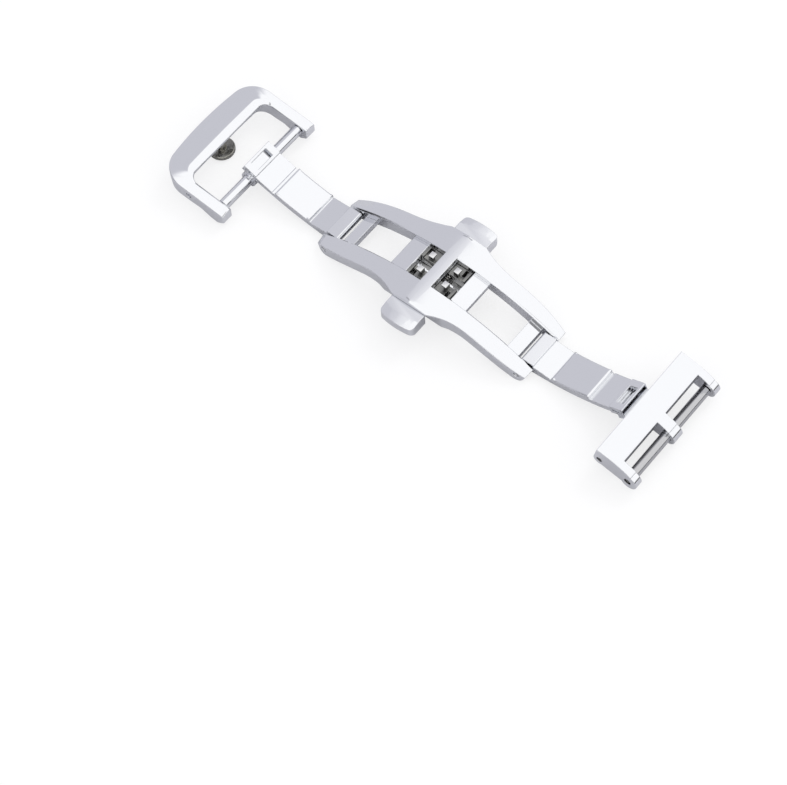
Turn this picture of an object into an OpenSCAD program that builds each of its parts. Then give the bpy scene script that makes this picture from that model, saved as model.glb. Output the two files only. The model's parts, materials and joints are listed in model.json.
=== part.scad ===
// Deployant clasp for a watch strap, lying open.
// X runs along the strap, Y across it and Z up. The strap's head is at +X, the D-shaped buckle at -X.
// The origin is the middle of the mechanism cover's flat underside.

/* [Strap] */
// Width of the strap that the clasp takes
strap_w = 18; // [16:0.5:20]
// Play between the strap and the metal on each side
strap_play = 0.1; // [0.05:0.05:0.2]

/* [Bridge] */
// Radius of the bridge's curved outer face
arch_r = 44; // [43:0.5:48]
// Height of the bridge's middle, cover included
mid_h = 3.4; // [3.3:0.05:3.8]
// Distance from the middle to each hinge pin
hinge_x = 18.6; // [18.4:0.1:19.6]
// Depth of the hinge pins below the outer face
hinge_depth = 1; // [0.95:0.05:1.1]
// Radius of the two hinge pins
hinge_pin_r = 0.5; // [0.4:0.05:0.5]
// Thickness of the rails
rail_t = 2.25; // [2.1:0.05:2.4]
// Length of the rails past the hinge pins
rail_over = 1.6; // [1.5:0.05:1.8]
// Half of the width between the rails
channel_half = 3.05; // [2.8:0.05:3.3]
// Half width of the bridge at its ends
end_half = 4.95; // [4.7:0.05:5.3]
// Half width of the bridge where its waist begins
waist_half = 5.95; // [5.7:0.05:6.3]
// Half width of the bridge at the tips of its wings
wing_half = 7.45; // [7.2:0.05:7.8]
// Half length of each wing's tip along X
wing_tip_x = 3.3; // [3.2:0.05:3.6]
// Half width of the crossbar along X
crossbar_half = 1; // [0.8:0.05:1.1]
// Distance from the middle to the far edge of each mechanism window
recess_x = 4.3; // [4.2:0.05:4.6]
// Distance from the middle to the far edge of each inner plate
plate_x = 7.35; // [7:0.05:7.8]
// Length along X of the bar that joins the rails at each end
end_bar_l = 1.6; // [1.4:0.05:1.8]
// Depth of the plates between the rails below the outer face
plate_depth = 0.95; // [0.95:0.05:1.2]
// Depth of the end bars' tops below the outer face
end_bar_depth = 1.4; // [1.35:0.05:1.5]
// Slope of the bevel along the rails' outer edges, in degrees
bevel_slope = 20; // [10:1:20]
// Bevel of the rails' inner top edges
inner_bevel = 0.25; // [0.1:0.05:0.3]

/* [Mechanism] */
// Thickness of the mechanism cover
cover_t = 0.6; // [0.5:0.05:0.8]
// Half length of the cover along X
cover_half_x = 6.4; // [6.2:0.1:6.6]
// Half width of the cover along Y
cover_half_y = 5.3; // [4.8:0.1:5.5]
// Radius of the cover screws' threads
screw_r = 0.4; // [0.3:0.05:0.45]
// Travel of each push button
press_travel = 0.75; // [0.6:0.05:0.75]
// Thickness of the latch slides
slide_t = 1.4; // [1.3:0.05:1.4]
// Half length of the latch slides along X
slide_half_x = 4.1; // [3.9:0.05:4.1]
// Distance from the middle to each hook
hook_x = 2.4; // [2.3:0.05:2.5]
// Distance from the middle line to the middle of each hook's stem
hook_y = 1.25; // [1.2:0.05:1.3]
// Length of a hook along X
hook_l = 0.9; // [0.7:0.05:1]
// Radius of the return springs' coils, measured to the wire's middle
spring_r = 0.38; // [0.3:0.02:0.4]
// Half length along X of a push button
button_half_x = 3.1; // [2.8:0.05:3.2]
// Distance from the middle line to a push button's outer face
button_y = 10.95; // [10.4:0.05:11.4]
// Thickness of a push button
button_t = 2.2; // [1.8:0.05:2.3]

/* [Blades] */
// Turn of each blade from open to closed, in degrees
fold_angle = 152.3; // [150:0.1:154]
// Half width of the blades
blade_half = 2.95; // [2.7:0.05:2.95]
// Height of a closed blade above the rails
blade_proud = 0.1; // [0.05:0.05:0.2]
// Thickness of a blade beside its hinge
root_t = 0.9; // [0.85:0.05:0.95]
// Thickness of a blade's long panel
panel_t = 1.35; // [1.1:0.05:1.5]
// Thickness of a blade between its panel and its catch
plain_t = 0.75; // [0.6:0.05:0.8]
// Length of the catch box at a blade's end
catch_l = 2.55; // [2.4:0.05:2.6]
// Thickness of the catch plate that the hooks hold
catch_t = 0.35; // [0.3:0.05:0.4]
// Half width of the window in the catch plate
catch_window_half = 1.75; // [1.7:0.05:1.8]

/* [Buckle] */
// Distance from the middle to the buckle's bar, with the clasp closed
bar_x = 3; // [2.9:0.05:3.2]
// Height of the bar and of the head's pin above the outer face, with the clasp closed
bar_rise = 1.7; // [1.7:0.05:1.8]
// Radius of the buckle's bar tube
bar_tube_r = 0.9; // [0.8:0.05:0.95]
// Radius of the pin inside the bar tube
bar_pin_r = 0.5; // [0.4:0.05:0.55]
// Wall of the blade's ring round the bar tube
ring_wall = 0.4; // [0.3:0.05:0.4]
// Width of each arm of the D-frame
arm_w = 2; // [1.6:0.05:2.2]
// Length of the D-frame's opening from the bar's axis
opening_l = 6.5; // [6:0.1:7]
// Width of the D-frame's thick end
end_w = 5.2; // [4.9:0.1:5.5]
// Radius of the D-frame's outer corners
corner_r = 4.2; // [3.6:0.1:4.6]
// Distance from the bar's axis to the strap stud
stud_u = 8.2; // [8:0.1:8.6]
// Radius of the stud's post
stud_post_r = 0.75; // [0.6:0.05:0.9]
// Radius of the stud's disc
stud_disc_r = 2.15; // [1.9:0.05:2.2]
// Thickness of the stud's disc
stud_disc_t = 0.8; // [0.6:0.05:0.8]

/* [Head] */
// Distance from the middle to the head's hinge pin, with the clasp closed
head_pin_x = 0.6; // [0.55:0.05:0.7]
// Radius of the head's hinge pin
head_pin_r = 0.5; // [0.4:0.05:0.5]
// Slope of the head as it lies, in degrees
head_tilt = 12.2; // [11:0.2:13]
// Distance from the head's hinge pin to the strap's spring bar
strap_bar_u = 5.19; // [5:0.05:5.4]
// Radius of the spring bar's tube
strap_tube_r = 0.85; // [0.75:0.05:0.9]
// Radius of the spring bar's tips
strap_tip_r = 0.5; // [0.4:0.05:0.55]
// Travel of each tip of the spring bar
tip_travel = 0.9; // [0.6:0.05:0.9]
// Width of each end lug of the head
lug_w = 1.35; // [1.2:0.05:1.6]
// Half width of the head's middle lug
mid_lug_half = 1; // [0.8:0.05:1.2]

/* [Hidden] */
$fn = 48;
arc_fn = 360;
steel = "gainsboro";
dark_steel = "darkgray";

// Clearances
play = 0.05;          // between pieces that slide past each other
turn_play = 0.04;     // round a pin that turns
over = 1;             // how far a cut runs past what it cuts

// The arch: its centre lies under the middle of the bridge
arch_z = mid_h - arch_r;
pin_ring_r = arch_r - hinge_depth;
pin_angle = asin(hinge_x / pin_ring_r);
pin_z = arch_z + pin_ring_r * cos(pin_angle);
deep = mid_h - pin_z + 2 * rail_t;   // lower than anything the bridge has
tip_x = hinge_x + rail_over;
end_bar_gap = 1.6;
end_bar_x1 = hinge_x - end_bar_gap;
end_bar_x0 = end_bar_x1 - end_bar_l;
tip_corner_r = 1.1;
pin_recess = 0.15;    // of the hinge pins' ends below the rails' sides

// The waist of the bridge's outline
waist_x = 10;
wing_power = 2.2;
end_power = 3;
bevel_turn = 16;
bevel_y = wing_half - 0.68;

// The mechanism, from the cover upwards
body_half_x = cover_half_x + 0.2;
slide_z0 = cover_t + play;
slide_z1 = slide_z0 + slide_t;
cavity_z1 = slide_z1 + 0.15;
cavity_half_x = slide_half_x + 0.1;
slide_y0 = press_travel + 0.1;
slide_y1 = 4.3;
cavity_half_y = slide_y1 + 0.1;
sink = 0.2;           // how far a raised part runs down into its slide
hook_w = 0.5;
hook_nose = 0.5;
hook_top = mid_h - 0.22;
hook_nose_t = 0.34;
strip_w = 0.45;
strip_top = mid_h - 1;
stem_half_x = 2.2;
stem_z0 = slide_z0 + 0.3;
stem_z1 = slide_z1 - 0.15;
body_half_y = wing_half - press_travel - 0.1;
hood_z = mid_h - 0.85;
button_z1 = hood_z - play;
hood_half_x = wing_tip_x + 3;
button_round = 14;
button_corner_r = 0.8;
button_top_l = 1.6;   // the slope on top of a button's outer side
button_top_t = 0.4;
button_edge = 0.35;
spring_wire_r = 0.1;
spring_x = 1.2;
spring_z = (slide_z0 + slide_z1) / 2;
spring_pocket_r = spring_r + spring_wire_r + 0.06;
spring_pocket_l = 1.4;
spring_half_l = slide_y0 + spring_pocket_l - press_travel - 0.02;
screw_x = 5.35;
screw_y = 2;
screw_l = 1.1;
screw_head_r = screw_r + 0.35;
screw_head_t = 0.3;

// The blades, drawn closed at the strap's side
face_r = arch_r + blade_proud;
barrel_r = hinge_depth + blade_proud - 0.06;
knuckle_top = 0.75;   // these four are measured from the hinge pin, with the blade open
knuckle_l = 1.35;
root_rise = 0.35;
root_l = 4.15;        // from the hinge pin to the panel
root_u1 = root_l + 0.55;
knuckle_a = 1.7;
panel_x0 = plate_x + 0.2;
panel_x1 = hinge_x - root_l;
groove_w = 0.5;
groove_t = plain_t - 0.15;
catch_x0 = crossbar_half + play;
catch_x1 = catch_x0 + catch_l;
catch_low = 0.95;
catch_sheet_t = 0.4;
catch_wall = 0.38;
catch_slot_r0 = arch_r - catch_low + catch_t;
catch_slot_r1 = arch_r - play;
catch_top_r = catch_slot_r1 + catch_sheet_t;
panel_bevel = 0.25;

// Where the buckle's bar and the head's pin lie, closed and open
bar_closed_z = mid_h + bar_rise;
ring_r = bar_tube_r + play + ring_wall;
knuckle_r = head_pin_r + 0.65;
ring_web_x0 = bar_x - 0.9;
ring_web_x1 = bar_x + 0.8;
head_web_x1 = catch_x1 - 1.3;
function opened_x(x) = hinge_x + (x - hinge_x) * cos(fold_angle) + (bar_closed_z - pin_z) * sin(fold_angle);
function opened_z(x) = pin_z - (x - hinge_x) * sin(fold_angle) + (bar_closed_z - pin_z) * cos(fold_angle);
bar_open_x = opened_x(bar_x);
bar_open_z = opened_z(bar_x);
head_open_x = opened_x(head_pin_x);
head_open_z = opened_z(head_pin_x);

// The D-frame, measured from its bar: u outwards, w up
strap_half = strap_w / 2 + strap_play;
frame_half = strap_half + arm_w;
frame_u1 = opening_l + end_w;
frame_bow_r = 60;     // of the thick end's slightly bowed outer side
arm_tip_u = -1.8;
arm_tip_w = 1.05;
ridge_u = opening_l + 1.2;
ridge_w = 2.95;
inner_edge_w = 2.2;
lip_w0 = 2.25;
lip_w1 = 2.6;
undercut_w = 1.9;
undercut_slope = 0.54;
rim_slope = 25;       // of the arms' tops beside their outer edges, in degrees
rim_l = 1.3;
rim_reach = 2;
corner_rise = 12;     // makes the rim's slope fade out round the corners
arm_inner_bevel = 0.4;
frame_corner_y = frame_half - corner_r;
frame_corner_u = frame_u1 - frame_bow_r + sqrt(pow(frame_bow_r - corner_r, 2) - pow(frame_corner_y, 2));
arm_slope = atan2(inner_edge_w - arm_tip_w, opening_l - arm_tip_u);

// The D-frame's underside from its arms' tips to its thick end, as u and w
frame_belly = [
    [-1.6, -1.2], [-0.4, -1.95], [1.1, -1.6], [2.8, -0.9], [4.9, -0.8], [7.4, -0.5], [8.7, -0.15], [9.3, 1]
];
inner_corner_r = 1.5;
bar_tube_half = strap_half - 0.1;
bar_pin_half = strap_half + arm_w * 0.7;
stud_top_w = -0.2;
stud_disc_w = -1.5;
stud_tail_r = 0.5;
stud_tail_w = 1;
dimple_u = 5.24;
dimple_w = 0.5;
dimple_r = 0.5;
dimple_depth = 0.5;
stud_disc_edge = 0.15;

// The head, measured from its pin: u outwards, w up
head_half = strap_half + lug_w;
head_pin_recess = 0.4;
head_u0 = -1;
head_bar_u1 = 3.1;
head_bottom_w = -0.85;
head_round = 16;
head_top_w = 2.35;
lug_r = 1.4;
lug_u = strap_bar_u + 0.21;
lug_w0 = 0.12;
notch_half = blade_half + 0.1;
notch_r = knuckle_r + 0.1;
notch_top_w = 1.45;
notch_ceiling_w = -0.4;
notch_u1 = 2.3;
head_low_w = -3;      // lower than anything the head has
head_slot_u = 0.3;
tip_hole_r = strap_tip_r + 0.1;
tip_inner_r = strap_tip_r + 0.05;
tube_bore_r = tip_inner_r + play;
strap_tube_half = strap_half - 0.1;
tip_end_y = head_half - 0.25;
tip_collar_y = strap_half - 0.25;
tip_inner_y = strap_half - 1.1;
strap_spring_r = tube_bore_r - 0.2;
strap_spring_half = tip_inner_y - tip_travel - 0.02;

function at_x(x) = asin(x / arch_r);
groove_a0 = at_x(panel_x0 - groove_w);
groove_a1 = at_x(panel_x0);
lap = 0.05;           // angle by which a blade's plates run into its catch box

// Half width of the bridge's outline at a distance from the middle
function outline_y(x) = x < waist_x
    ? waist_half + (wing_half - waist_half) * pow((waist_x - x) / (waist_x - wing_tip_x), wing_power)
    : waist_half - (waist_half - end_half) * pow((x - waist_x) / (tip_x - waist_x), end_power);

// A plate bent round the arch's axis, between two radii, two angles from the top and two sides
module band(r0, r1, a0, a1, y0, y1) {
    translate([0, 0, arch_z])
        rotate([90, 0, 0])
            rotate([0, 0, 90 - a1])
                rotate_extrude(angle = a1 - a0, $fn = arc_fn)
                    translate([r0, -y1])
                        square([r1 - r0, y1 - y0]);
}

// The frame of a point on the arch: X along the arch, Z away from its centre
module on_arch(angle) {
    translate([0, 0, arch_z])
        rotate([0, angle, 0])
            children();
}

module rod(x, z, r, y0, y1) {
    translate([x, y1, z])
        rotate([90, 0, 0])
            cylinder(r = r, h = y1 - y0);
}

module block(x0, x1, y0, y1, z0, z1) {
    translate([x0, y0, z0])
        cube([x1 - x0, y1 - y0, z1 - z0]);
}

module both_ends() {
    children();
    mirror([1, 0, 0])
        children();
}

module both_sides() {
    children();
    mirror([0, 1, 0])
        children();
}

// A round wire wound along Y, with its ends ground flat by the neighbouring pieces
module coil(r, wire_r, half_l, turns) {
    rings = 10;
    sides = 6;
    steps = turns * rings;
    rise = (2 * half_l - 2 * wire_r) / steps;
    points = [for (i = [0:steps]) for (j = [0:sides - 1])
        let (turn = 360 * i / rings, side = 360 * j / sides, reach = r + wire_r * cos(side))
        [reach * cos(turn), -half_l + wire_r + i * rise + wire_r * sin(side), reach * sin(turn)]];
    walls = [for (i = [0:steps - 1]) for (j = [0:sides - 1]) for (k = [0:1])
        let (a = i * sides + j, b = i * sides + (j + 1) % sides)
        k == 0 ? [a, a + sides, b] : [b, a + sides, b + sides]];
    starts = [for (j = [1:sides - 2]) [0, j, j + 1]];
    last = steps * sides;
    ends = [for (j = [1:sides - 2]) [last, last + j + 1, last + j]];
    polyhedron(points = points, faces = concat(walls, starts, ends), convexity = 10);
}

// The bridge

module outline() {
    steps = 16;
    side = [for (i = [0:steps]) let (x = wing_tip_x + (tip_x - wing_tip_x) * i / steps) [x, outline_y(x)]];
    half = concat(side, [for (i = [steps:-1:0]) [side[i][0], -side[i][1]]]);
    polygon(concat(half, [for (i = [len(half) - 1:-1:0]) [-half[i][0], half[i][1]]]));
}

module outer_bevel() {
    reach = wing_half;
    sweep_a0 = 50;
    sweep = 60;
    rotate([0, 0, -bevel_turn])
        translate([0, 0, arch_z])
            rotate([90, 0, 0])
                rotate([0, 0, sweep_a0])
                    rotate_extrude(angle = sweep, $fn = arc_fn)
                        polygon([
                            [arch_r, -bevel_y], [arch_r + over, -bevel_y], [arch_r + over, -bevel_y - reach],
                            [arch_r - reach * tan(bevel_slope), -bevel_y - reach]
                        ]);
}

module inner_edge_bevel() {
    translate([0, 0, arch_z])
        rotate([90, 0, 0])
            rotate([0, 0, 90 - at_x(tip_x) - 2])
                rotate_extrude(angle = at_x(tip_x) + 2 - at_x(crossbar_half), $fn = arc_fn)
                    polygon([
                        [arch_r - inner_bevel, -channel_half], [arch_r + over, -channel_half],
                        [arch_r + over, -channel_half - inner_bevel - over]
                    ]);
}

module tip_corner() {
    on_arch(at_x(tip_x))
        translate([0, 0, arch_r - rail_t])
            difference() {
                block(-tip_corner_r, over, -wing_half, wing_half, -over, tip_corner_r);
                rod(-tip_corner_r, tip_corner_r, tip_corner_r, -wing_half - over, wing_half + over);
            }
}

module channel_cuts() {
    tip_a = at_x(tip_x) + 2;
    low = mid_h - deep;
    band(arch_r - plate_depth, arch_r + over, at_x(crossbar_half), tip_a, -channel_half, channel_half);
    band(arch_r - deep, arch_r, at_x(plate_x), at_x(end_bar_x0), -channel_half, channel_half);
    band(arch_r - end_bar_depth, arch_r - play, at_x(end_bar_x0) - 0.5, at_x(end_bar_x1) + 1.2, -channel_half, channel_half);
    block(end_bar_x1, tip_x + over, -channel_half, channel_half, low, mid_h);
    block(crossbar_half, recess_x, -channel_half, channel_half, cavity_z1 - play, mid_h);
}

module bridge_frame() {
    color(steel)
        difference() {
            intersection() {
                translate([0, 0, mid_h - deep])
                    linear_extrude(height = deep + over)
                        outline();
                union() {
                    band(arch_r - rail_t, arch_r, -at_x(tip_x), at_x(tip_x), -wing_half - over, wing_half + over);
                    block(-body_half_x, body_half_x, -wing_half, wing_half, cover_t, mid_h - 1);
                }
            }
            both_ends() {
                channel_cuts();
                tip_corner();
                both_sides()
                    outer_bevel();
                both_sides()
                    inner_edge_bevel();
                rod(hinge_x, pin_z, hinge_pin_r, -wing_half, wing_half);
                both_sides()
                    translate([screw_x, screw_y, cover_t - over])
                        cylinder(r = screw_r, h = screw_l + over);
            }
            block(-cavity_half_x, cavity_half_x, -cavity_half_y, cavity_half_y, cover_t - over, cavity_z1);
            block(-stem_half_x - play, stem_half_x + play, -wing_half, wing_half, stem_z0 - play, stem_z1 + play);
            both_sides()
                block(-hood_half_x, hood_half_x, body_half_y, wing_half + over, -over, hood_z);
        }
}

module hinge_pin(x) {
    color(dark_steel)
        rod(x, pin_z, hinge_pin_r, -outline_y(hinge_x) + pin_recess, outline_y(hinge_x) - pin_recess);
}

module strap_hinge_pin() {
    hinge_pin(hinge_x);
}

module buckle_hinge_pin() {
    hinge_pin(-hinge_x);
}

// The mechanism

module mechanism_cover() {
    round = 1.5;
    color(steel)
        difference() {
            union() {
                block(-cover_half_x, cover_half_x, round - cover_half_y, cover_half_y - round, 0, cover_t);
                block(round - cover_half_x, cover_half_x - round, -cover_half_y, cover_half_y, 0, cover_t);
                both_ends()
                    both_sides()
                        translate([cover_half_x - round, cover_half_y - round, 0])
                            cylinder(r = round, h = cover_t);
            }
            both_ends()
                both_sides()
                    translate([screw_x, screw_y, 0]) {
                        translate([0, 0, -over])
                            cylinder(r = screw_r + play, h = cover_t + 2 * over);
                        translate([0, 0, -over])
                            cylinder(r = screw_head_r + play, h = over + screw_head_t);
                    }
        }
}

module cover_screws() {
    slot_w = 0.2;
    slot_depth = 0.15;
    color(dark_steel)
        both_ends()
            both_sides()
                translate([screw_x, screw_y, 0])
                    difference() {
                        union() {
                            cylinder(r = screw_head_r, h = screw_head_t);
                            cylinder(r = screw_r, h = cover_t + screw_l - play);
                        }
                        block(-screw_head_r - over, screw_head_r + over, -slot_w / 2, slot_w / 2, -over, slot_depth);
                    }
}

module hook() {
    block(hook_x - hook_l / 2, hook_x + hook_l / 2, hook_y - hook_w / 2, hook_y + hook_w / 2, slide_z1 - sink, hook_top);
    block(
        hook_x - hook_l / 2, hook_x + hook_l / 2, hook_y, hook_y + hook_w / 2 + hook_nose,
        hook_top - hook_nose_t, hook_top
    );
}

// The rear slide, with two hooks that point away from the middle
module latch_slide() {
    notch_x0 = hook_x + hook_l / 2 + 0.1;
    notch_x1 = slide_half_x - strip_w;
    notch_y0 = hook_y + 0.4;
    notch_y1 = channel_half - 0.15;
    color(dark_steel)
        difference() {
            union() {
                block(-slide_half_x, slide_half_x, slide_y0, slide_y1, slide_z0, slide_z1);
                both_ends() {
                    block(notch_x1, slide_half_x, slide_y0, notch_y1, slide_z1 - sink, strip_top);
                    hook();
                }
            }
            both_ends() {
                rod(spring_x, spring_z, spring_pocket_r, slide_y0 - over, slide_y0 + spring_pocket_l);
                block(notch_x0, notch_x1, notch_y0, notch_y1, slide_z0 - over, slide_z1 + over);
            }
        }
}

module latch_slide_rear() {
    latch_slide();
}

module latch_slide_front() {
    mirror([0, 1, 0])
        latch_slide();
}

// A button from above: its outer side is an arc that runs into two rounded corners
module button_plan() {
    corner_x = button_half_x - button_corner_r;
    corner_y = button_y - button_round + sqrt(pow(button_round - button_corner_r, 2) - corner_x * corner_x);
    arc_x = corner_x * button_round / (button_round - button_corner_r);
    translate([-button_half_x, wing_half - play])
        square([2 * button_half_x, corner_y - wing_half + play]);
    for (side = [-1, 1])
        translate([side * corner_x, corner_y])
            circle(r = button_corner_r);
    intersection() {
        translate([0, button_y - button_round])
            circle(r = button_round, $fn = arc_fn);
        translate([-arc_x, wing_half])
            square([2 * arc_x, button_y - wing_half + over]);
    }
}

// The rear button: a crescent with a stem that meets the slide
module push_button() {
    color(steel) {
        difference() {
            translate([0, 0, button_z1 - button_t])
                linear_extrude(height = button_t)
                    button_plan();
            translate([0, button_y - button_round, button_z1 - button_t])
                rotate_extrude($fn = arc_fn) {
                    polygon([
                        [button_round - 2 * button_edge, -over], [button_round + over, -over],
                        [button_round + over, button_edge + over / 2], [button_round - 2 * button_edge, 0]
                    ]);
                    polygon([
                        [button_round - button_top_l, button_t], [button_round - button_top_l, button_t + over],
                        [button_round + over, button_t + over],
                        [button_round + over, button_t - button_top_t * (1 + over / button_top_l)]
                    ]);
                }
        }
        block(-stem_half_x, stem_half_x, slide_y1, wing_half, stem_z0, stem_z1);
    }
}

module push_button_rear() {
    push_button();
}

module push_button_front() {
    mirror([0, 1, 0])
        push_button();
}

module return_springs() {
    color(dark_steel)
        both_ends()
            translate([spring_x, 0, spring_z])
                coil(spring_r, spring_wire_r, spring_half_l, 7);
}

// The blades

module blade_plates() {
    wide = blade_half + over;
    low_r = face_r - panel_t - over;
    difference() {
        band(face_r - panel_t, face_r, at_x(catch_x1) - lap, pin_angle, -blade_half, blade_half);
        band(low_r, face_r - root_t, at_x(panel_x1), pin_angle + 2, -wide, wide);
        band(low_r, face_r - plain_t, at_x(catch_x1) - 2, (groove_a0 + groove_a1) / 2, -wide, wide);
        band(low_r, face_r - groove_t, groove_a0, groove_a1, -wide, wide);
        both_sides()
            panel_edge();
    }
    band(pin_ring_r + 0.05, face_r - root_t / 2, pin_angle - knuckle_a, pin_angle, -blade_half, blade_half);
    knuckle();
    band(arch_r - catch_low, catch_top_r, at_x(catch_x0), at_x(catch_x1), -blade_half, blade_half);
}

// The flat-topped knuckle and the wedge that joins it to the blade, drawn as they lie with the blade open
module knuckle() {
    belly = -0.3;
    root_end = 0.22;
    translate([hinge_x, 0, pin_z])
        rotate([0, -fold_angle, 0]) {
            difference() {
                rod(0, 0, barrel_r, -blade_half, blade_half);
                block(-over - barrel_r, over + barrel_r, -blade_half - over, blade_half + over, knuckle_top, over + barrel_r);
            }
            rotate([90, 0, 0])
                linear_extrude(height = 2 * blade_half, center = true)
                    polygon([
                        [0, belly], [root_u1, root_end + belly], [root_u1, root_end],
                        [knuckle_l, root_rise], [knuckle_l, knuckle_top], [0, knuckle_top]
                    ]);
        }
}

// The small bevel along a panel's inner long edge
module panel_edge() {
    r0 = face_r - panel_t;
    translate([0, 0, arch_z])
        rotate([90, 0, 0])
            rotate([0, 0, 90 - at_x(panel_x1) - 1])
                rotate_extrude(angle = at_x(panel_x1) - at_x(panel_x0) + 2, $fn = arc_fn)
                    polygon([
                        [r0 - over, -blade_half + panel_bevel + over], [r0 - over, -blade_half - over],
                        [r0 + panel_bevel, -blade_half - over], [r0 + panel_bevel, -blade_half]
                    ]);
}

// The slot through a catch box from side to side, and the window that the hooks enter
module catch_cuts() {
    slot_a0 = at_x(catch_x0 + catch_wall);
    slot_a1 = at_x(catch_x1 - catch_wall);
    band(catch_slot_r0, catch_slot_r1, slot_a0, slot_a1, -blade_half - over, blade_half + over);
    band(
        arch_r - catch_low - over, catch_slot_r1, at_x(hook_x - hook_l / 2 - 0.4), at_x(hook_x + hook_l / 2 + 0.2),
        -catch_window_half, catch_window_half
    );
}

module open_blade() {
    translate([hinge_x, 0, pin_z])
        rotate([0, fold_angle, 0])
            translate([-hinge_x, 0, -pin_z])
                children();
}

module strap_blade() {
    color(steel)
        open_blade()
            difference() {
                union() {
                    blade_plates();
                    band(catch_top_r - play, arch_r + 1, at_x(head_pin_x), at_x(head_web_x1), -blade_half, blade_half);
                    rod(head_pin_x, bar_closed_z, knuckle_r, -blade_half, blade_half);
                }
                catch_cuts();
                rod(hinge_x, pin_z, hinge_pin_r + turn_play, -blade_half - over, blade_half + over);
                rod(head_pin_x, bar_closed_z, head_pin_r + turn_play, -blade_half - over, blade_half + over);
            }
}

module buckle_blade() {
    color(steel)
        mirror([1, 0, 0])
            open_blade()
                difference() {
                    union() {
                        blade_plates();
                        band(arch_r, arch_r + bar_rise, at_x(ring_web_x0), at_x(ring_web_x1), -blade_half, blade_half);
                        rod(bar_x, bar_closed_z, ring_r, -blade_half, blade_half);
                    }
                    catch_cuts();
                    rod(hinge_x, pin_z, hinge_pin_r + turn_play, -blade_half - over, blade_half + over);
                    rod(bar_x, bar_closed_z, bar_tube_r + play, -blade_half - over, blade_half + over);
                }
}

// The buckle

module at_bar() {
    translate([-bar_open_x, 0, bar_open_z])
        mirror([1, 0, 0])
            children();
}

module frame_side() {
    top = [[frame_u1, lip_w0], [frame_u1, lip_w1], [ridge_u, ridge_w], [opening_l, inner_edge_w]];
    polygon(concat([[arm_tip_u, arm_tip_w]], frame_belly, top));
}

module frame_plan() {
    bow_y = frame_corner_y * frame_bow_r / (frame_bow_r - corner_r);
    difference() {
        union() {
            translate([arm_tip_u, -frame_half])
                square([frame_corner_u - arm_tip_u, 2 * frame_half]);
            for (side = [-1, 1])
                translate([frame_corner_u, side * frame_corner_y])
                    circle(r = corner_r, $fn = 96);
            intersection() {
                translate([frame_u1 - frame_bow_r, 0])
                    circle(r = frame_bow_r, $fn = arc_fn);
                translate([arm_tip_u, -bow_y])
                    square([frame_u1 + over - arm_tip_u, 2 * bow_y]);
            }
        }
        translate([arm_tip_u - over, -strap_half])
            square([opening_l - inner_corner_r - arm_tip_u + over, 2 * strap_half]);
        translate([0, inner_corner_r - strap_half])
            square([opening_l, 2 * (strap_half - inner_corner_r)]);
        for (side = [-1, 1])
            translate([opening_l - inner_corner_r, side * (strap_half - inner_corner_r)])
                circle(r = inner_corner_r);
    }
}

// Under the inner edge the thick end leans away, so the stud shows through the opening
module frame_undercut() {
    lowest = -ridge_w;
    rotate([90, 0, 0])
        linear_extrude(height = 2 * strap_half, center = true)
            polygon([
                [opening_l - over, undercut_w], [opening_l, undercut_w],
                [opening_l + undercut_slope * (undercut_w - lowest), lowest], [opening_l - over, lowest]
            ]);
}

// Across the rim: the distance from the outer edge and the height
module rim_section() {
    rise = tan(rim_slope);
    polygon([
        [-rim_l - rim_reach, rim_reach * rise], [over, -(rim_l + over) * rise],
        [over, ridge_w], [-rim_l - rim_reach, ridge_w]
    ]);
}

module frame_rim() {
    translate([arm_tip_u, frame_half, arm_tip_w])
        rotate([0, -arm_slope, 0])
            translate([-over, 0, 0])
                rotate([90, 0, 90])
                    linear_extrude(height = over + (frame_corner_u - arm_tip_u) / cos(arm_slope))
                        rim_section();
    translate([frame_corner_u, frame_corner_y, arm_tip_w + (frame_corner_u - arm_tip_u) * tan(arm_slope)])
        rotate([0, -corner_rise, 0])
            rotate_extrude(angle = 90, $fn = arc_fn)
                translate([corner_r, 0])
                    rim_section();
}

module arm_inner_edge() {
    translate([arm_tip_u, strap_half, arm_tip_w])
        rotate([0, -arm_slope, 0])
            rotate([45, 0, 0])
                block(
                    -over, (opening_l - arm_tip_u) / cos(arm_slope), -frame_half / 2, frame_half / 2,
                    -arm_inner_bevel, ridge_w
                );
}

module buckle_frame() {
    color(steel)
        at_bar()
            difference() {
                intersection() {
                    translate([0, frame_half, 0])
                        rotate([90, 0, 0])
                            linear_extrude(height = 2 * frame_half)
                                frame_side();
                    translate([0, 0, -frame_half])
                        linear_extrude(height = 2 * frame_half)
                            frame_plan();
                }
                frame_undercut();
                both_sides() {
                    frame_rim();
                    arm_inner_edge();
                }
                rod(0, 0, bar_pin_r, -bar_pin_half, bar_pin_half);
                translate([stud_u, 0, stud_disc_w - over])
                    cylinder(r = stud_tail_r, h = over - stud_disc_w + stud_tail_w);
                both_sides()
                    rod(dimple_u, dimple_w, dimple_r, frame_half - dimple_depth, frame_half + over);
                translate([stud_u, 0, stud_disc_w - over])
                    cylinder(r = stud_post_r, h = over - stud_disc_w + stud_top_w);
            }
}

module buckle_bar_tube() {
    color(steel)
        at_bar()
            difference() {
                rod(0, 0, bar_tube_r, -bar_tube_half, bar_tube_half);
                rod(0, 0, bar_pin_r + turn_play, -bar_tube_half - over, bar_tube_half + over);
            }
}

module buckle_bar_pin() {
    color(dark_steel)
        at_bar()
            rod(0, 0, bar_pin_r, -bar_pin_half, bar_pin_half);
}

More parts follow.
